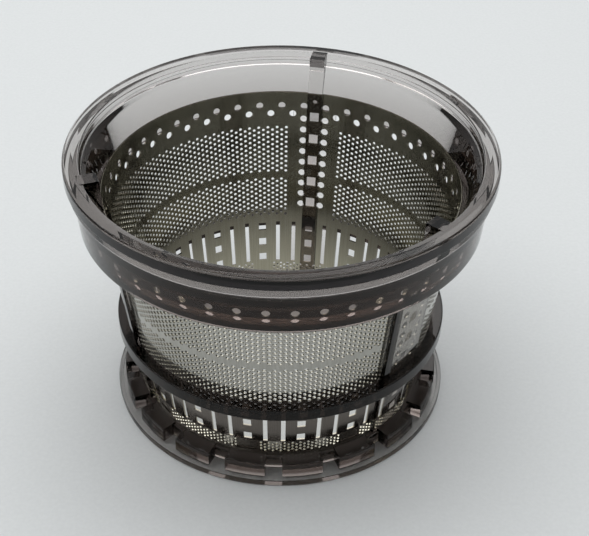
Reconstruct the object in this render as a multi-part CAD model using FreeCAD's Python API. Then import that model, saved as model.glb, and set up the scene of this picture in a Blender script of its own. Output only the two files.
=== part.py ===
import FreeCAD, Part
import math
import os

# Mesh screen of a slow juicer: a perforated steel cone, open at both ends, moulded into a
# clear smoke-grey plastic frame. Millimetres, +Z up, origin at the centre of the underside.
# Angles are in degrees about +Z, from the front (-Y) towards +X.

Vector = FreeCAD.Vector

# Fits: the rim drops into the juicing bowl, the bore clears the foot of the auger
total_height = 78.6
rim_radius = 58.0
bore_radius = 38.3

# Rim: the thick band at the mouth, with its outer edge broken and a bevel round its inner edge
rim_wall = 4.2
rim_height = 3.6
rim_bevel_width = 1.5
rim_bevel_drop = 0.4
rim_chamfer = 0.6

# Collar under the rim: a band, then a tapering wall that overhangs the steel
band_step = 0.7
band_height = 2.6
collar_step = 1.1
collar_taper = 1.2
collar_height = 12.6
underside_rise = 2.2

# Ledge inside the mouth, and the funnel that leads from it to the steel
ledge_drop = 4.5
ledge_step = 0.6
ledge_slope_width = 1.3
ledge_slope_height = 1.6
funnel_width = 2.9
funnel_height = 6.4

# Rolled steel sheet: a cone that widens upwards from the base to the foot of the funnel
sheet_thickness = 0.5
sheet_bottom = 3.0
bore_step = 1.57

# Hoop half way up, at the upper ends of the slots
hoop_wall = 3.27
hoop_bottom = 22.9
hoop_height = 3.8

# Base: a seat for the sheet, a ring of lugs and a thin flange with a raised lip
seat_wall = 1.6
seat_height = 5.0
lug_arc = 14.0
lug_depth = 3.76
lug_height = 5.8
flange_step = 2.1
flange_thickness = 1.3
lip_width = 1.2
lip_height = 0.6

# Columns round the base: a lug, and above it square holes in the sheet; slots stand between them
column_count = 18
slots_between = 2
slot_width = 1.2
slot_bottom = 10.3
slot_overlap = 1.4
square_rows = 3
square_width = 2.25
square_height = 2.5
square_margin = 0.35

# Sieve panels between the ribs: two tiers of openings, which stand for the fine perforation
sieve_columns = 6
sieve_width = 4.2
sieve_margin = 10.3
sieve_top_gap = 5.2
sieve_bottom_gap = 0.6
lower_tier_height = 12.2
tier_band = 2.1

# Ribs: a rib inside and a pad outside the sheet at every sixth column, tied through square holes
rib_count = 3
rib_angle = 168.0
inner_rib_width = 4.4
inner_rib_depth = 1.2
pad_width = 13.0
pad_depth = 0.8
stop_reach = 2.4
stop_height = 4.1
tie_count = 5
tie_width = 2.7
tie_height = 2.9
tie_top_gap = 1.7
tie_bottom_gap = 5.2

# Bars from the hoop to the collar, one at each end of the front panel
bar_spread = 129.0
bar_width = 2.1
bar_depth = 1.5

# Ribs run this far into what they end on, and cutters this far past both faces of the sheet
moulding_bite = 1.0
window_margin = 2.0

# Heights and radii that follow
rim_bottom = total_height - rim_height
rim_inside = rim_radius - rim_wall
band_radius = rim_radius - band_step
band_bottom = rim_bottom - band_height
collar_top_radius = band_radius - collar_step
collar_bottom_radius = collar_top_radius - collar_taper
collar_bottom = band_bottom - collar_height
collar_root = collar_bottom + underside_rise
ledge_height = total_height - ledge_drop
ledge_slope_radius = rim_inside - ledge_step
ledge_radius = ledge_slope_radius - ledge_slope_width
sheet_top = ledge_height - funnel_height
sheet_top_radius = ledge_radius - funnel_width - sheet_thickness
sheet_bottom_radius = bore_radius + bore_step
sheet_slope = (sheet_top_radius - sheet_bottom_radius) / (sheet_top - sheet_bottom)
hoop_top = hoop_bottom + hoop_height

# Patterns that follow
column_angles = [rib_angle + 360.0 * k / column_count for k in range(column_count)]
rib_angles = column_angles[::column_count // rib_count]
bar_angles = [rib_angle - bar_spread, rib_angle + bar_spread]
open_columns = [angle for angle in column_angles if angle not in rib_angles]
tie_first = collar_root - tie_top_gap
tie_pitch = (tie_first - hoop_top - tie_bottom_gap) / (tie_count - 1)
tie_heights = [tie_first - tie_pitch * k for k in range(tie_count)]
sieve_span = 360.0 / rib_count - 2 * sieve_margin
sieve_step = sieve_span / sieve_columns
sieve_offsets = [sieve_margin + sieve_step * (k + 0.5) for k in range(sieve_columns)]
lower_tier_bottom = hoop_top + sieve_bottom_gap
lower_tier_top = lower_tier_bottom + lower_tier_height
upper_tier_bottom = lower_tier_top + tier_band
upper_tier_top = collar_root - sieve_top_gap
slot_top = hoop_bottom + slot_overlap
square_first = slot_top - square_margin - square_height / 2
square_last = slot_bottom + square_margin + square_height / 2
square_pitch = (square_first - square_last) / (square_rows - 1)
square_heights = [square_first - square_pitch * k for k in range(square_rows)]


def inside_radius(z):
    """Radius of the sheet's inner face at a height."""
    return sheet_bottom_radius + (z - sheet_bottom) * sheet_slope


def outside_radius(z):
    """Radius of the sheet's outer face at a height."""
    return inside_radius(z) + sheet_thickness


def turned(outline, sweep=360.0):
    """Solid of revolution about Z from a closed outline of (radius, height) corners."""
    corners = [Vector(radius, 0, height) for radius, height in outline]
    face = Part.Face(Part.makePolygon(corners + corners[:1]))
    return face.revolve(Vector(0, 0, 0), Vector(0, 0, 1), sweep)


def turned_to(shape, angle):
    """Copy of a shape drawn along +X, turned to an angle from the front."""
    copy = shape.copy()
    copy.rotate(Vector(0, 0, 0), Vector(0, 0, 1), angle - 90.0)
    return copy


def radial_block(angle, width):
    """Straight-sided block, as tall as the part, that reaches outwards from the axis."""
    block = Part.makeBox(rim_radius, width, total_height, Vector(0, -width / 2, 0))
    return turned_to(block, angle)


def window(angle, width, bottom, top):
    """Cutter through the sheet with sides that point at the axis."""
    inner = inside_radius(bottom) - window_margin
    outer = outside_radius(top) + window_margin
    arc = math.degrees(width / inside_radius((bottom + top) / 2))
    block = turned([(inner, bottom), (outer, bottom), (outer, top), (inner, top)], arc)
    return turned_to(block, angle - arc / 2)


def make_mouth():
    """Rim, ledge and collar: one thick turned section with the sheet's edge at its root."""
    return turned([
        (outside_radius(collar_root), collar_root),
        (collar_bottom_radius, collar_bottom),
        (collar_top_radius, band_bottom),
        (band_radius, band_bottom),
        (band_radius, rim_bottom),
        (rim_radius, rim_bottom),
        (rim_radius, total_height - rim_chamfer),
        (rim_radius - rim_chamfer, total_height),
        (rim_inside + rim_bevel_width, total_height),
        (rim_inside, total_height - rim_bevel_drop),
        (ledge_slope_radius, ledge_height + ledge_slope_height),
        (ledge_radius, ledge_height),
        (outside_radius(sheet_top), sheet_top),
    ])


def make_hoop():
    """Hoop round the sheet at the upper ends of the slots."""
    hoop_radius = outside_radius(hoop_top) + hoop_wall
    return turned([
        (outside_radius(hoop_bottom), hoop_bottom),
        (hoop_radius, hoop_bottom),
        (hoop_radius, hoop_top),
        (outside_radius(hoop_top), hoop_top),
    ])


def make_base():
    """Flange with its lip, the seat that the sheet's lower edge stands in, and the lugs."""
    seat_radius = outside_radius(seat_height) + seat_wall
    lug_radius = seat_radius + lug_depth
    flange_radius = lug_radius + flange_step
    lip_radius = flange_radius - lip_width
    lip_top = flange_thickness + lip_height
    ring = turned([
        (bore_radius, 0),
        (flange_radius, 0),
        (flange_radius, lip_top),
        (lip_radius, lip_top),
        (lip_radius, flange_thickness),
        (seat_radius, flange_thickness),
        (seat_radius, seat_height),
        (outside_radius(seat_height), seat_height),
        (outside_radius(sheet_bottom), sheet_bottom),
        (bore_radius, sheet_bottom),
    ])
    lug_root = seat_radius - seat_wall / 2
    lug = turned([
        (lug_root, 0),
        (lug_radius, 0),
        (lug_radius, lug_height),
        (lug_root, lug_height),
    ], lug_arc)
    lugs = [turned_to(lug, angle - lug_arc / 2) for angle in column_angles]
    return [ring] + lugs


def make_inner_ribs():
    """Ribs inside the sheet, each ending in a stop block against the rim."""
    stop_radius = ledge_radius - stop_reach
    ring = turned([
        (inside_radius(sheet_bottom) - inner_rib_depth, sheet_bottom),
        (inside_radius(sheet_bottom), sheet_bottom),
        (inside_radius(sheet_top), sheet_top),
        (outside_radius(sheet_top) + moulding_bite, sheet_top),
        (rim_inside + rim_bevel_width + moulding_bite, total_height),
        (stop_radius, total_height),
        (stop_radius, total_height - stop_height),
        (inside_radius(sheet_top) - inner_rib_depth, sheet_top),
    ])
    return [ring.common(radial_block(angle, inner_rib_width)) for angle in rib_angles]


def strips_outside(angles, width, depth, bottom, top):
    """Strips of plastic on the sheet's outer face, which run into what they end on."""
    bottom = bottom - moulding_bite
    top = top + moulding_bite
    ring = turned([
        (outside_radius(bottom), bottom),
        (outside_radius(bottom) + depth, bottom),
        (outside_radius(top) + depth, top),
        (outside_radius(top), top),
    ])
    return [ring.common(radial_block(angle, width)) for angle in angles]


def make_outer_strips():
    """Pads over the ties, from the base seat to the collar, and the bars above the hoop."""
    pads = strips_outside(rib_angles, pad_width, pad_depth, seat_height, collar_root)
    bars = strips_outside(bar_angles, bar_width, bar_depth, hoop_top, collar_root)
    return pads + bars


def make_plain_sheet():
    """The cone before it is perforated."""
    return turned([
        (inside_radius(sheet_bottom), sheet_bottom),
        (outside_radius(sheet_bottom), sheet_bottom),
        (outside_radius(sheet_top), sheet_top),
        (inside_radius(sheet_top), sheet_top),
    ])


def square_windows(angle, width, height, middles):
    """Cutters for one column of square holes."""
    return [window(angle, width, z - height / 2, z + height / 2) for z in middles]


def tied_windows():
    """Cutters for the square holes under the ribs, which the moulding fills."""
    windows = []
    for angle in rib_angles:
        windows += square_windows(angle, tie_width, tie_height, tie_heights)
        windows += square_windows(angle, square_width, square_height, square_heights)
    return windows


def open_windows():
    """Cutters for the lower band: the open square holes, and the slots between columns."""
    windows = []
    for angle in open_columns:
        windows += square_windows(angle, square_width, square_height, square_heights)
    slot_step = 360.0 / column_count / (slots_between + 1)
    for angle in column_angles:
        for k in range(slots_between):
            windows.append(window(angle + slot_step * (k + 1), slot_width, slot_bottom, slot_top))
    return windows


def sieve_windows():
    """Cutters for the two tiers of the panels between the ribs."""
    windows = []
    for angle in rib_angles:
        for offset in sieve_offsets:
            windows.append(window(angle + offset, sieve_width, lower_tier_bottom, lower_tier_top))
            windows.append(window(angle + offset, sieve_width, upper_tier_bottom, upper_tier_top))
    return windows


def make_frame():
    """The moulding: everything in plastic is one piece, locked through the sheet by its ties."""
    plain_sheet = make_plain_sheet()
    ties = [plain_sheet.common(cutter) for cutter in tied_windows()]
    pieces = [make_hoop()] + make_base() + make_inner_ribs() + make_outer_strips() + ties
    return make_mouth().multiFuse(pieces).removeSplitter()


def make_screen():
    """The steel sheet with its square holes, its slots and the openings of its sieve panels."""
    return make_plain_sheet().cut(Part.makeCompound(tied_windows() + open_windows() + sieve_windows()))


os.makedirs("parts", exist_ok=True)
make_frame().exportStep("parts/moulded_frame.step")
make_screen().exportStep("parts/steel_screen.step")
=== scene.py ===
import math

import bmesh
import bpy
from mathutils import Matrix, Vector


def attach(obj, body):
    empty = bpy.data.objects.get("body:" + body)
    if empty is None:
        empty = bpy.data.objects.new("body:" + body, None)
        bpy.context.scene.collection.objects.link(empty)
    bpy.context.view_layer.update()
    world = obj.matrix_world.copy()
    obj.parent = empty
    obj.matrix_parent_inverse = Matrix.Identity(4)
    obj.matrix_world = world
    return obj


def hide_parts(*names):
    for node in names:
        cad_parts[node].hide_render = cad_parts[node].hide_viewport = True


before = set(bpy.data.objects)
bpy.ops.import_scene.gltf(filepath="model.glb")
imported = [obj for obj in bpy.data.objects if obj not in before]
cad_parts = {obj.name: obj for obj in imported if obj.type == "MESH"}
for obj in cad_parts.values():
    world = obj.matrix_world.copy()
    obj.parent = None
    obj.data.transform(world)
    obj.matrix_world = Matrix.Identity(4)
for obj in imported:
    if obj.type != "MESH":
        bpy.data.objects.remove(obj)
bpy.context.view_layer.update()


# Steel screen
# One strip of thin stainless sheet, punched flat with all its holes, then rolled into a cone
# that widens upwards. The plastic frame is moulded round its two ends, its ribs and its middle.
mm = 0.001
sheet_thickness = 0.5 * mm
sheet_bottom = 2.9 * mm
sheet_top = 67.7 * mm
sheet_foot = 3.0 * mm
sheet_foot_radius = 39.87 * mm
sheet_slope = 8.63 / 64.7
rib_angles = [math.radians(168 + 120 * k) for k in range(3)]
first_rib = rib_angles[0]
third = math.radians(120)


def sheet_inside(z):
    """Radius of the sheet's inner face at a height."""
    return sheet_foot_radius + (z - sheet_foot) * sheet_slope


def sheet_middle(z):
    """Radius half way through the sheet at a height."""
    return sheet_inside(z) + sheet_thickness / 2


def sheet_outside(z):
    """Radius of the sheet's outer face at a height."""
    return sheet_inside(z) + sheet_thickness


def facing(angle):
    """Turn that takes +X to a direction, measured from the front (-Y) towards +X."""
    return Matrix.Rotation(angle - math.pi / 2, 4, "Z")


def outline_face(corners):
    """Flat face in the XZ plane through (radius, height, rounding) corners."""
    bm = bmesh.new()
    verts = [bm.verts.new((radius, 0, height)) for radius, height, _ in corners]
    bm.faces.new(verts)
    for vert, (_, _, rounding) in zip(verts, corners):
        if rounding:
            bmesh.ops.bevel(bm, geom=[vert], offset=rounding, offset_type="OFFSET", segments=4,
                            profile=0.5, affect="VERTICES", material=-1)
    return bm


def outline(corners):
    """The edges alone of such a face."""
    bm = outline_face(corners)
    bmesh.ops.delete(bm, geom=bm.faces[:], context="FACES_ONLY")
    return bm


def turned(corners, steps, start):
    """Closed ring, turned about Z from an outline whose last corner joins the first."""
    bm = outline(corners)
    bmesh.ops.rotate(bm, verts=bm.verts[:], matrix=facing(start))
    bmesh.ops.spin(bm, geom=bm.verts[:] + bm.edges[:], axis=(0, 0, 1), angle=2 * math.pi,
                   steps=steps, use_merge=True)
    bmesh.ops.remove_doubles(bm, verts=bm.verts[:], dist=1e-7)
    bmesh.ops.recalc_face_normals(bm, faces=bm.faces[:])
    return bm


def as_object(bm, name):
    """Object of that name which holds the bmesh."""
    mesh = bpy.data.meshes.new(name)
    bm.to_mesh(mesh)
    bm.free()
    obj = bpy.data.objects.new(name, mesh)
    bpy.context.scene.collection.objects.link(obj)
    return obj


def combined(obj, tools, operation):
    """Joins solids to an object, or cuts them out of it, and removes them."""
    group = bpy.data.collections.new(obj.name + " tools")
    for tool in tools:
        group.objects.link(tool)
    boolean = obj.modifiers.new("tools", "BOOLEAN")
    boolean.operation = operation
    boolean.solver = "MANIFOLD"
    boolean.operand_type = "COLLECTION"
    boolean.collection = group
    evaluated = obj.evaluated_get(bpy.context.evaluated_depsgraph_get())
    result = bpy.data.meshes.new_from_object(evaluated)
    obj.modifiers.clear()
    obj.data = result
    for tool in tools:
        bpy.data.objects.remove(tool)
    bpy.data.collections.remove(group)


def in_steps(bm, step, count):
    """Punch object that repeats what the bmesh holds in equal steps round the axis."""
    bmesh.ops.spin(bm, geom=bm.verts[:] + bm.edges[:] + bm.faces[:], axis=(0, 0, 1),
                   angle=step * (count - 1), steps=count - 1, use_duplicate=True)
    return as_object(bm, "punch")


def round_punches(diameter, sides, angle, z, step, count, flare=0.0):
    """Pins through the sheet, flared outwards, the first at an angle and the others in steps from it."""
    pin_length = 3 * sheet_thickness
    bm = bmesh.new()
    on_sheet = facing(angle) @ Matrix.Translation((sheet_middle(z), 0, z))
    bmesh.ops.create_cone(bm, cap_ends=True, segments=sides, radius1=diameter / 2 - flare,
                          radius2=diameter / 2 + flare, depth=pin_length,
                          matrix=on_sheet @ Matrix.Rotation(math.pi / 2, 4, "Y"))
    return in_steps(bm, step, count)


def square_punches(width, height, angle, z, step, count):
    """Blocks through the sheet at a height, the first at an angle and the others in steps from it."""
    block_length = 6 * sheet_thickness
    bm = bmesh.new()
    on_sheet = facing(angle) @ Matrix.Translation((sheet_middle(z), 0, z))
    bmesh.ops.create_cube(bm, size=1,
                          matrix=on_sheet @ Matrix.Diagonal((block_length, width, height, 1)))
    return in_steps(bm, step, count)


# Fine sieve holes: two tiers of staggered columns in each of the three panels between the ribs
columns_round = 210
column_step = math.radians(360 / columns_round)
fine_diameter = 1.02 * mm
fine_flare = 0.2 * mm
fine_pitch = 1.6 * mm
fine_sides = 8
punches = []
for first_column, columns, first_row, rows in (
    (6, 30, 56.3 * mm, 10),
    (7, 29, 55.5 * mm, 9),
    (6, 30, 38.3 * mm, 8),
    (7, 29, 39.1 * mm, 8),
):
    for rib in rib_angles:
        start = rib + first_column * column_step
        for row in range(rows):
            height = first_row - row * fine_pitch
            punches.append(round_punches(fine_diameter, fine_sides, start, height,
                                         2 * column_step, columns, fine_flare))

# Anchor holes: two staggered rows under the collar, and a row up each side of a rib
anchor_diameter = 2.1 * mm
anchor_sides = 20
anchor_step = math.radians(8)
upper_row = 63.4 * mm
lower_row = 60.8 * mm
beside_rib_top = 59.3 * mm
beside_rib_pitch = 3.55 * mm
punches.append(round_punches(anchor_diameter, anchor_sides, first_rib + anchor_step / 2, upper_row,
                             anchor_step, 45))
for rib in rib_angles:
    punches.append(round_punches(anchor_diameter, anchor_sides, rib + anchor_step, lower_row,
                                 anchor_step, 14))
for row in range(9):
    height = beside_rib_top - row * beside_rib_pitch
    for beside in (-anchor_step / 2, anchor_step / 2):
        punches.append(round_punches(anchor_diameter, anchor_sides, first_rib + beside, height, third, 3))

# Behind each rib: one small round hole at the top, and square holes that the plastic runs through
small_diameter = 1.3 * mm
small_sides = 16
small_height = 65.2 * mm
tie_width = 2.7 * mm
tie_height = 2.9 * mm
tie_top = 60.3 * mm
tie_pitch = 7.1 * mm
punches.append(round_punches(small_diameter, small_sides, first_rib, small_height, third, 3))
for row in range(5):
    punches.append(square_punches(tie_width, tie_height, first_rib, tie_top - row * tie_pitch, third, 3))

# Lower band: pairs of slots between columns of three square holes, and a strip of fine holes below
band_columns = 18
column_gap = math.radians(20)
square_width = 2.25 * mm
square_height = 2.5 * mm
square_top = 22.7 * mm
square_pitch = 5.4 * mm
slot_width = 1.2 * mm
slot_length = 14 * mm
slot_middle = 17.3 * mm
strip_step = math.radians(1.5)
strip_diameter = 0.78 * mm
for row in range(3):
    punches.append(square_punches(square_width, square_height, first_rib,
                                  square_top - row * square_pitch, column_gap, band_columns))
for share in (1 / 3, 2 / 3):
    punches.append(square_punches(slot_width, slot_length, first_rib + share * column_gap,
                                  slot_middle, column_gap, band_columns))
for first_column, columns, heights in (
    (-10, 11, (9.4 * mm, 8.15 * mm, 6.9 * mm)),
    (-9, 10, (8.775 * mm, 7.525 * mm, 6.275 * mm)),
):
    for sector in range(9):
        start = first_rib + sector * 2 * column_gap + first_column * strip_step
        for height in heights:
            punches.append(round_punches(strip_diameter, fine_sides, start, height,
                                         2 * strip_step, columns))

cone_wall = turned([
    (sheet_inside(sheet_bottom), sheet_bottom, 0),
    (sheet_outside(sheet_bottom), sheet_bottom, 0),
    (sheet_outside(sheet_top), sheet_top, 0),
    (sheet_inside(sheet_top), sheet_top, 0),
], columns_round, first_rib + column_step / 2)
screen = as_object(cone_wall, "perforated_screen")
combined(screen, punches, "DIFFERENCE")


def smooth(obj, degrees):
    """Smooth shading that breaks at edges sharper than an angle."""
    obj.data.shade_smooth()
    obj.data.set_sharp_from_angle(angle=math.radians(degrees))


smooth(screen, 30)


class Socket:
    """Output of a shader node; arithmetic on it adds Math nodes to the same tree."""

    def __init__(self, tree, output):
        self.tree = tree
        self.output = output

    def node(self, kind, settings, inputs):
        """Adds a node, makes its settings, then sets or links its inputs; gives its outputs."""
        node = self.tree.nodes.new(kind)
        for name, value in settings.items():
            if name == "stops":
                ramp = node.color_ramp.elements
                while len(ramp) < len(value):
                    ramp.new(0.5)
                for stop, (position, colour) in zip(ramp, value):
                    stop.position = position
                    stop.color = (*colour, 1)
            else:
                setattr(node, name, value)
        for name, value in inputs.items():
            if isinstance(value, Socket):
                self.tree.links.new(value.output, node.inputs[name])
            else:
                node.inputs[name].default_value = value
        return [Socket(self.tree, output) for output in node.outputs]

    def maths(self, operation, *values):
        return self.node("ShaderNodeMath", {"operation": operation}, dict(enumerate(values)))[0]

    def __add__(self, other):
        return self.maths("ADD", self, other)

    def __radd__(self, other):
        return self.maths("ADD", other, self)

    def __sub__(self, other):
        return self.maths("SUBTRACT", self, other)

    def __rsub__(self, other):
        return self.maths("SUBTRACT", other, self)

    def __mul__(self, other):
        return self.maths("MULTIPLY", self, other)

    def __rmul__(self, other):
        return self.maths("MULTIPLY", other, self)

    def __gt__(self, other):
        return self.maths("GREATER_THAN", self, other)

    def __lt__(self, other):
        return self.maths("LESS_THAN", self, other)


def new_material(name):
    """Material with a Principled shader, that shader, and its Object coordinates."""
    material = bpy.data.materials.new(name)
    material.use_nodes = True
    tree = material.node_tree
    shader = next(node for node in tree.nodes if node.type == "BSDF_PRINCIPLED")
    object_output = 3
    place = Socket(tree, None).node("ShaderNodeTexCoord", {}, {})[object_output]
    return material, shader, place


def feed(shader, name, value):
    """Links a value into one input of the shader."""
    value.tree.links.new(value.output, shader.inputs[name])


def noise(place, scale, detail):
    """Cloudy value about one half, finer with a larger scale."""
    return place.node("ShaderNodeTexNoise", {}, {"Vector": place, "Scale": scale, "Detail": detail})[0]


def colours(share, stops):
    """Colour that runs through (share, colour) stops."""
    return share.node("ShaderNodeValToRGB", {"stops": stops}, {"Fac": share})[0]


def by_height(z, stops):
    """Colour that runs through (height in mm, colour) stops from the floor up."""
    tall = 80
    return colours(z * (1 / (tall * mm)), [(height / tall, colour) for height, colour in stops])


def mixed(share, first, second, blend="MIX"):
    """Blend of two colours; a share of 1 gives the second one in full."""
    return first.node("ShaderNodeMix", {"data_type": "RGBA", "blend_type": blend},
                      {0: share, 6: first, 7: second})[2]


def cone_place(place):
    """Coordinates of a point, its distance from the axis, and how far it lies outside the sheet."""
    x, y, z = place.node("ShaderNodeSeparateXYZ", {}, {"Vector": place})
    squared = x * x + y * y
    radius = squared.maths("SQRT", squared)
    return x, y, z, radius, radius - sheet_middle(0) - z * sheet_slope


# Satin rolled steel: streaks run up the sheet, and the inner face is painted darker than the outer one,
# as painted shade
steel, shader, place = new_material("satin rolled steel")
x, y, z, _, off_sheet = cone_place(place)
streaks_round = 150
streaks_up = 60
turn = x.maths("ARCTAN2", y, x)
grain_place = place.node("ShaderNodeCombineXYZ", {},
                         {"X": turn * streaks_round, "Y": z * streaks_up, "Z": 0.0})[0]
grain = noise(grain_place, 1.0, 3.0)
# Painted shade: the inner face is the same steel, given a darker tone than the outer face
inner_tone = colours(grain, [
    (0.3, (0.265, 0.25, 0.195)),
    (0.7, (0.35, 0.335, 0.275)),
])
outer_tone = colours(grain, [
    (0.3, (0.42, 0.41, 0.37)),
    (0.7, (0.54, 0.53, 0.49)),
])

# Painted light on the outer face: lighter at the foot, painted shade and reflection of the lugs in brown
# below the hoop, and painted shade where the collar grips it
band_shade = (0.44, 0.40, 0.39)
unshaded = (1.0, 1.0, 1.0)
outer_painted_light = by_height(z, [
    (10.0, (1.5, 1.48, 1.45)),
    (10.2, band_shade),
    (22.8, band_shade),
    (23.0, unshaded),
    (58.4, unshaded),
    (58.9, (0.24, 0.185, 0.165)),
])

# Painted reflection inside: the sheet is painted lightest at its foot, where it mirrors the floor lit
# through the mouth
middle_painted_light = (0.82, 0.81, 0.8)
inner_painted_light = by_height(z, [
    (7.0, (1.8, 1.78, 1.74)),
    (15.0, (1.25, 1.24, 1.22)),
    (23.0, middle_painted_light),
    (30.0, middle_painted_light),
    (45.0, (0.95, 0.95, 0.94)),
])

outer_tone = mixed(1.0, outer_tone, outer_painted_light, "MULTIPLY")
inner_tone = mixed(1.0, inner_tone, inner_painted_light, "MULTIPLY")
feed(shader, "Base Color", mixed(off_sheet > 0.0, inner_tone, outer_tone))
feed(shader, "Roughness", 0.09 + grain * 0.12)
shader.inputs["Metallic"].default_value = 1.0
screen.data.materials.clear()
screen.data.materials.append(steel)
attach(screen, "root")
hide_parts("steel_screen")


# Moulded frame
# One injection moulding in clear smoke-grey plastic, made round the rolled sheet: the rim and
# collar, the hoop, the base with its lugs, and three ribs that grip the sheet from both sides.
ring_steps = 252
mouth_bottom = 62.0 * mm
hoop_bottom = 22.9 * mm
hoop_top = 26.7 * mm
hoop_radius = 46.8 * mm
bore_radius = 38.3 * mm
flange_radius = 48.1 * mm
lip_radius = 46.9 * mm
seat_radius = 42.24 * mm
seat_top = 5.0 * mm

mouth = turned([
    (sheet_middle(mouth_bottom), mouth_bottom, 0),
    (55.0 * mm, 59.8 * mm, 0.5 * mm),
    (56.2 * mm, 72.4 * mm, 0.2 * mm),
    (57.3 * mm, 72.4 * mm, 0.3 * mm),
    (57.3 * mm, 75.0 * mm, 0.2 * mm),
    (58.0 * mm, 75.0 * mm, 0.3 * mm),
    (58.0 * mm, 78.6 * mm, 0.8 * mm),
    (55.3 * mm, 78.6 * mm, 0.3 * mm),
    (53.8 * mm, 78.2 * mm, 0.3 * mm),
    (53.2 * mm, 75.7 * mm, 0.3 * mm),
    (51.9 * mm, 74.1 * mm, 0.3 * mm),
    (sheet_inside(sheet_top) + 0.1 * mm, sheet_top + 0.05 * mm, 0),
    (sheet_middle(sheet_top), sheet_top - 0.1 * mm, 0),
], ring_steps, first_rib)

hoop = turned([
    (sheet_middle(hoop_bottom), hoop_bottom, 0),
    (hoop_radius, hoop_bottom, 0.4 * mm),
    (hoop_radius, hoop_top, 0.4 * mm),
    (sheet_middle(hoop_top), hoop_top, 0),
], ring_steps, first_rib)

base = turned([
    (bore_radius, 0, 0.3 * mm),
    (flange_radius, 0, 0.3 * mm),
    (flange_radius, 1.9 * mm, 0.3 * mm),
    (lip_radius, 1.9 * mm, 0.3 * mm),
    (lip_radius, 1.3 * mm, 0.1 * mm),
    (seat_radius, 1.3 * mm, 0.2 * mm),
    (seat_radius, seat_top, 0.3 * mm),
    (sheet_middle(seat_top), seat_top, 0),
    (sheet_middle(sheet_foot), sheet_foot, 0),
    (bore_radius, sheet_foot, 0.3 * mm),
], ring_steps, first_rib)


def closed(bm):
    """The bmesh with its open ends filled and its faces turned outwards."""
    bmesh.ops.holes_fill(bm, edges=bm.edges[:], sides=0)
    bmesh.ops.recalc_face_normals(bm, faces=bm.faces[:])
    return bm


def block_on_ring(corners, arc, angle):
    """Block with an outline of corners, turned through a short arc about an angle."""
    bm = outline(corners)
    bmesh.ops.rotate(bm, verts=bm.verts[:], matrix=facing(angle - arc / 2))
    bmesh.ops.spin(bm, geom=bm.verts[:] + bm.edges[:], axis=(0, 0, 1), angle=arc, steps=8)
    return closed(bm)


def new_verts(grown):
    """Corners among the parts that an extrusion made."""
    return [part for part in grown["geom"] if isinstance(part, bmesh.types.BMVert)]


def strip_outside(width, depth, bottom, top, angle):
    """Straight-sided strip on the sheet's outer face, as thick as the depth, between two heights."""
    slices = 8
    bm = outline([
        (sheet_middle(bottom), bottom, 0),
        (sheet_outside(bottom) + depth, bottom, 0),
        (sheet_outside(top) + depth, top, 0),
        (sheet_middle(top), top, 0),
    ])
    bmesh.ops.translate(bm, verts=bm.verts[:], vec=(0, -width / 2, 0))
    last_edges = bm.edges[:]
    for _ in range(slices):
        grown = bmesh.ops.extrude_edge_only(bm, edges=last_edges)
        ends = new_verts(grown)
        bmesh.ops.translate(bm, verts=ends, vec=(0, width / slices, 0))
        last_edges = [edge for edge in bm.edges if all(vert in ends for vert in edge.verts)]
    closed(bm)
    for vert in bm.verts:
        vert.co.x = math.sqrt(vert.co.x ** 2 - vert.co.y ** 2)
    bmesh.ops.rotate(bm, verts=bm.verts[:], matrix=facing(angle))
    return bm


def straight_bar(corners, width, angle):
    """Straight-sided bar with an outline of corners, seen from its side, at an angle."""
    bm = outline_face(corners)
    bmesh.ops.translate(bm, verts=bm.verts[:], vec=(0, -width / 2, 0))
    grown = bmesh.ops.extrude_face_region(bm, geom=bm.faces[:], use_keep_orig=True)
    bmesh.ops.translate(bm, verts=new_verts(grown), vec=(0, width, 0))
    bmesh.ops.rotate(bm, verts=bm.verts[:], matrix=facing(angle))
    bmesh.ops.recalc_face_normals(bm, faces=bm.faces[:])
    return bm


# Lugs round the base, ribs inside with a stop at the rim, pads outside, and two bars in front
lug_inside = 41.4 * mm
lug_outside = 46.0 * mm
lug_bottom = 0.6 * mm
lug_top = 5.8 * mm
lug_arc = math.radians(14)
rib_bottom = 2 * mm
rib_depth = 1.2 * mm
rib_width = 4.4 * mm
rib_back = 56.3 * mm
stop_radius = 49.5 * mm
stop_bottom = 74.5 * mm
stop_top = 78.5 * mm
pad_width = 13 * mm
pad_depth = 0.8 * mm
pad_bottom = 4 * mm
bar_width = 2.1 * mm
bar_depth = 1.5 * mm
bar_bottom = 25.7 * mm
bar_spread = math.radians(129)
under_collar = 63 * mm

grips = []
for k in range(18):
    grips.append(block_on_ring([
        (lug_inside, lug_bottom, 0),
        (lug_outside, lug_bottom, 0),
        (lug_outside, lug_top, 0.4 * mm),
        (lug_inside, lug_top, 0.4 * mm),
    ], lug_arc, first_rib + k * column_gap))
for rib in rib_angles:
    grips.append(straight_bar([
        (sheet_inside(rib_bottom) - rib_depth, rib_bottom, 0),
        (sheet_middle(rib_bottom), rib_bottom, 0),
        (sheet_middle(sheet_top), sheet_top, 0),
        (rib_back, 77.5 * mm, 0),
        (rib_back, stop_top, 0),
        (stop_radius, stop_top, 0.3 * mm),
        (stop_radius, stop_bottom, 0.3 * mm),
        (sheet_inside(sheet_top) - rib_depth, sheet_top, 0),
    ], rib_width, rib))
    grips.append(strip_outside(pad_width, pad_depth, pad_bottom, under_collar, rib))
for spread in (-bar_spread, bar_spread):
    grips.append(strip_outside(bar_width, bar_depth, bar_bottom, under_collar, first_rib + spread))

moulding = as_object(mouth, "moulded_frame_clear")
combined(moulding, [as_object(bm, "grip") for bm in [hoop, base] + grips], "UNION")
smooth(moulding, 35)
weighted = moulding.modifiers.new("flat faces stay flat", "WEIGHTED_NORMAL")
weighted.keep_sharp = True

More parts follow.
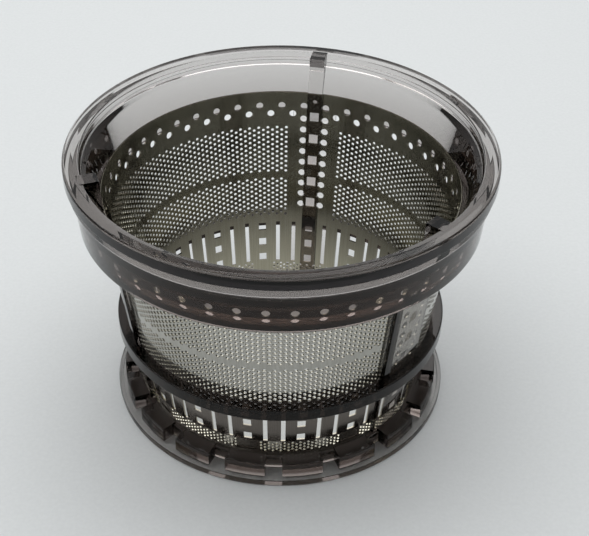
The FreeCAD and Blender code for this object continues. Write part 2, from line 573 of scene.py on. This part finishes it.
# Smoke-grey clear plastic: the tint is in the depth of the wall, so thick parts go dark. The Base Color
# adds painted shade to parts of the moulding on top of that.
plastic, shader, place = new_material("clear smoke plastic")
_, _, z, radius, off_sheet = cone_place(place)
wear = noise(place, 180.0, 4.0)

# Ribs and pads are told from the bars by how far they stand off the sheet; the inner ribs are painted
# darker and the bars near black, as painted shade
off_span = 8 * mm
pad_tint = (0.96, 0.94, 0.93)
rib_tone = colours(0.5 + off_sheet * (1 / off_span), [
    (0.48, (0.45, 0.40, 0.38)),
    (0.50, pad_tint),
    (0.63, pad_tint),
    (0.66, (0.03, 0.027, 0.025)),
])

# The rings in order of height: flange, lugs, hoop, the wall above it, mouth. The lugs and the hoop are
# painted near black with painted shade.
lug_shade = (0.13, 0.105, 0.095)
hoop_shade = (0.03, 0.022, 0.018)
wall_tint = (0.55, 0.48, 0.46)
ring_tone = by_height(z, [
    (2.0, (0.97, 0.96, 0.95)),
    (2.6, lug_shade),
    (22.4, lug_shade),
    (22.8, hoop_shade),
    (26.8, hoop_shade),
    (27.2, wall_tint),
    (59.0, wall_tint),
    (59.6, (1.0, 0.985, 0.975)),
])
on_panel = by_height(z, [
    (5.9, (0, 0, 0)),
    (6.2, (1, 1, 1)),
    (22.4, (1, 1, 1)),
    (22.8, (0, 0, 0)),
    (26.8, (0, 0, 0)),
    (27.2, (1, 1, 1)),
    (59.0, (1, 1, 1)),
    (59.6, (0, 0, 0)),
])
smoke_and_shade = mixed(on_panel, ring_tone, rib_tone)

# Painted shade: seen from outside, the outer wall of collar and rim is painted darker in bands, and from
# within it keeps the plain tint
dark_collar_shade = (0.06, 0.05, 0.046)
red_collar_shade = (0.80, 0.66, 0.61)
clear_step = (0.95, 0.93, 0.92)
collar_shade = by_height(z, [
    (62.4, (0.06, 0.048, 0.043)),
    (63.2, red_collar_shade),
    (67.8, red_collar_shade),
    (68.6, dark_collar_shade),
    (72.3, dark_collar_shade),
    (72.5, clear_step),
    (75.0, clear_step),
    (75.2, (0.005, 0.0047, 0.006)),
])
collar_bottom = 59.5 * mm
collar_top = 77.9 * mm
backfacing_output = 6
from_inside = place.node("ShaderNodeNewGeometry", {}, {})[backfacing_output]
on_collar = (z > collar_bottom) * (z < collar_top) * (off_sheet > 6 * mm)
smoke_and_shade = mixed(on_collar * (1 - from_inside), smoke_and_shade, collar_shade)

# Painted shade on the upper ends of the ribs on the sheet, the tops of the stops, and the wall of the
# bore
on_rib_end = (off_sheet < -0.1 * mm) * (z > collar_bottom) * (z < sheet_top)
smoke_and_shade = mixed(on_rib_end, smoke_and_shade, (0.30, 0.28, 0.27, 1))
on_stop = (radius < 53.3 * mm) * (z > 76 * mm)
smoke_and_shade = mixed(on_stop, smoke_and_shade, (0.11, 0.10, 0.098, 1))
in_bore = (off_sheet < -1 * mm) * (z < 3.2 * mm)
smoke_and_shade = mixed(in_bore, smoke_and_shade, (0.04, 0.033, 0.03, 1))

feed(shader, "Base Color", smoke_and_shade)
feed(shader, "Roughness", 0.005 + wear * 0.03)
shader.inputs["Transmission Weight"].default_value = 1.0
shader.inputs["IOR"].default_value = 1.5
shader.inputs["Specular Tint"].default_value = (0.45, 0.44, 0.43, 1)
depth = plastic.node_tree.nodes.new("ShaderNodeVolumeAbsorption")
depth.inputs["Color"].default_value = (0.37, 0.33, 0.31, 1)
depth.inputs["Density"].default_value = 105.0
output = next(node for node in plastic.node_tree.nodes if node.type == "OUTPUT_MATERIAL")
plastic.node_tree.links.new(depth.outputs["Volume"], output.inputs["Volume"])
moulding.data.materials.clear()
moulding.data.materials.append(plastic)
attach(moulding, "root")
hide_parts("moulded_frame")


# Floor and light
# A sheet of pale paper that runs out of view, in a room that is bright behind and dim in front.
paper_half = 4
paper_drop = 0.2 * mm
paper_sheet = bmesh.new()
bmesh.ops.create_grid(paper_sheet, x_segments=1, y_segments=1, size=paper_half)
bmesh.ops.translate(paper_sheet, verts=paper_sheet.verts[:], vec=(0, 0, -paper_drop))
floor = as_object(paper_sheet, "paper_floor")
paper, shader, place = new_material("pale paper")
paper_tone = colours(noise(place, 900.0, 2.0), [
    (0.3, (0.70, 0.72, 0.72)),
    (0.7, (0.73, 0.75, 0.75)),
])
feed(shader, "Base Color", paper_tone)
shader.inputs["Roughness"].default_value = 0.8
floor.data.materials.append(paper)

world = bpy.data.worlds.new("room")
bpy.context.scene.world = world
world.use_nodes = True
direction = Socket(world.node_tree, None).node("ShaderNodeTexCoord", {}, {})[0]
_, y, z = direction.node("ShaderNodeSeparateXYZ", {}, {"Vector": direction})
glow = colours(0.5 + y * 0.32 + z * 0.38, [
    (0.18, (0.20, 0.20, 0.20)),
    (0.55, (0.38, 0.385, 0.39)),
    (0.92, (0.60, 0.61, 0.62)),
])
sky = world.node_tree.nodes["Background"]
feed(sky, "Color", glow)
sky.inputs["Strength"].default_value = 1.0

lamp = bpy.data.lights.new("window lamp", "AREA")
lamp.shape = "RECTANGLE"
lamp.size = 1.6
lamp.size_y = 1.2
lamp.energy = 9.0
lamp_aim = Vector((0, 0.05, 0))
window = bpy.data.objects.new("window lamp", lamp)
window.location = (-0.10, 0.22, 1.00)
window.rotation_euler = (lamp_aim - window.location).to_track_quat("-Z", "Y").to_euler()
bpy.context.scene.collection.objects.link(window)


# Camera
# The photograph looks down into the mouth from the front, a little under forty degrees.
# Its width and focal length are in pixels.
photo_width = 589
focal_length = 1300
view = bpy.data.cameras.new("camera")
view.sensor_width = 36
view.lens = focal_length * view.sensor_width / photo_width
view.shift_x = 0.0233
camera = bpy.data.objects.new("camera", view)
camera.location = (0, -0.29467, 0.26101)
camera.rotation_euler = (math.radians(52.889), 0, 0)
camera.rotation_euler.rotate_axis("Z", math.radians(0.4))
bpy.context.scene.collection.objects.link(camera)
bpy.context.scene.camera = camera
bpy.context.scene.view_settings.view_transform = "Standard"
